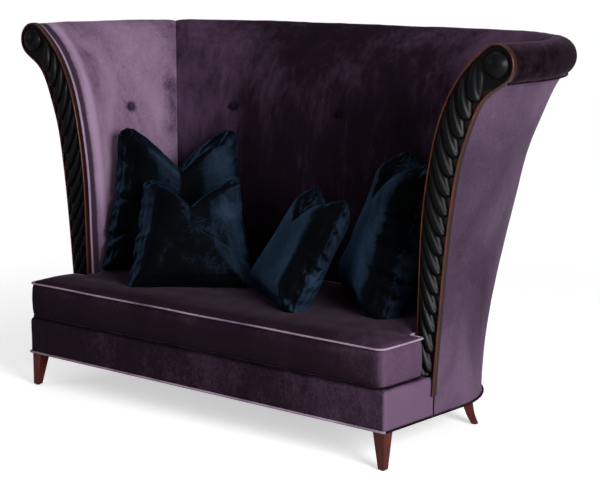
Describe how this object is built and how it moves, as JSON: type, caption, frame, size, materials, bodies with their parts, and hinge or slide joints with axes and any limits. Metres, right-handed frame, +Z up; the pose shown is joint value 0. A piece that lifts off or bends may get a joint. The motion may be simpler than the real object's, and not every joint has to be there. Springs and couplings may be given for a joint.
{
  "type": "sofa",
  "caption": "Tall winged sofa with an outswept shell back, rolled top, carved rope arm fronts, bench seat cushion, tapered legs and loose pillows.",
  "frame": {"origin": "on the floor below the middle of the whole sofa", "axes": "+X to the right seen from the front, +Y to the back, +Z up"},
  "size_m": [2.564, 1.2414, 1.518],
  "materials": {
    "velvet": "aubergine velvet with a lilac sheen",
    "pillow_velvet": "dark teal navy velvet",
    "piping": "velvet covered cord",
    "mahogany": "polished reddish brown",
    "black_lacquered_wood": "black lacquer, high gloss",
    "leg_wood": "dark polished",
    "frame_wood": "raw timber",
    "steel": "plain",
    "glide_plastic": "matte",
    "webbing": "woven",
    "padding": "soft padding",
    "dust_cloth": "thin cloth"
  },
  "bodies": {
    "sofa": {"arm_board_left": "mahogany", "arm_board_right": "mahogany", "back_pad": "velvet", "back_ribs": "frame_wood", "base_piping": "piping", "boss_left": "black_lacquered_wood", "boss_pins": "steel", "boss_right": "black_lacquered_wood", "button_back_left": "velvet", "button_back_middle": "velvet", "button_back_right": "velvet", "button_wing_left": "velvet", "button_wing_right": "velvet", "deck_cloth": "velvet", "deck_pad": "padding", "dust_cover": "dust_cloth", "leg_bolts": "steel", "leg_front_left": "leg_wood", "leg_front_right": "leg_wood", "leg_glides": "glide_plastic", "leg_plates": "steel", "leg_rear_left": "leg_wood", "leg_rear_right": "leg_wood", "outside_cover_back": "velvet", "outside_cover_left": "velvet", "outside_cover_right": "velvet", "platform_cover": "velvet", "roll_piping": "piping", "rope_carving_left": "black_lacquered_wood", "rope_carving_right": "black_lacquered_wood", "seat_cross_rails": "frame_wood", "seat_rail_front": "frame_wood", "seat_rail_left": "frame_wood", "seat_rail_rear": "frame_wood", "seat_rail_right": "frame_wood", "tacking_rails": "frame_wood", "top_rails": "frame_wood", "webbing_front_to_back": "webbing", "webbing_side_to_side": "webbing", "wing_pad_left": "velvet", "wing_pad_right": "velvet", "wing_ribs_left": "frame_wood", "wing_ribs_right": "frame_wood"},
    "seat_cushion": {"seat_cushion": "velvet", "cushion_piping_top": "piping", "cushion_piping_bottom": "piping"},
    "large_left_pillow": {"pillow_large_left": "pillow_velvet"},
    "large_right_pillow": {"pillow_large_right": "pillow_velvet"},
    "small_left_pillow": {"pillow_small_left": "pillow_velvet"},
    "small_right_pillow": {"pillow_small_right": "pillow_velvet"}
  },
  "joints": [
    {"name": "seat_cushion_lift", "type": "slide", "parent": "sofa", "child": "seat_cushion", "axis": [0, 0, 1], "range_m": [0, 0.1]},
    {"name": "large_left_pillow_lift", "type": "slide", "parent": "seat_cushion", "child": "large_left_pillow", "axis": [0, 0, 1], "range_m": [0, 0.12]},
    {"name": "large_right_pillow_lift", "type": "slide", "parent": "seat_cushion", "child": "large_right_pillow", "axis": [0, 0, 1], "range_m": [0, 0.12]},
    {"name": "small_left_pillow_lift", "type": "slide", "parent": "seat_cushion", "child": "small_left_pillow", "axis": [0, -0.5, 0.866], "range_m": [0, 0.12]},
    {"name": "small_right_pillow_lift", "type": "slide", "parent": "seat_cushion", "child": "small_right_pillow", "axis": [0, -0.5, 0.866], "range_m": [0, 0.12]}
  ]
}
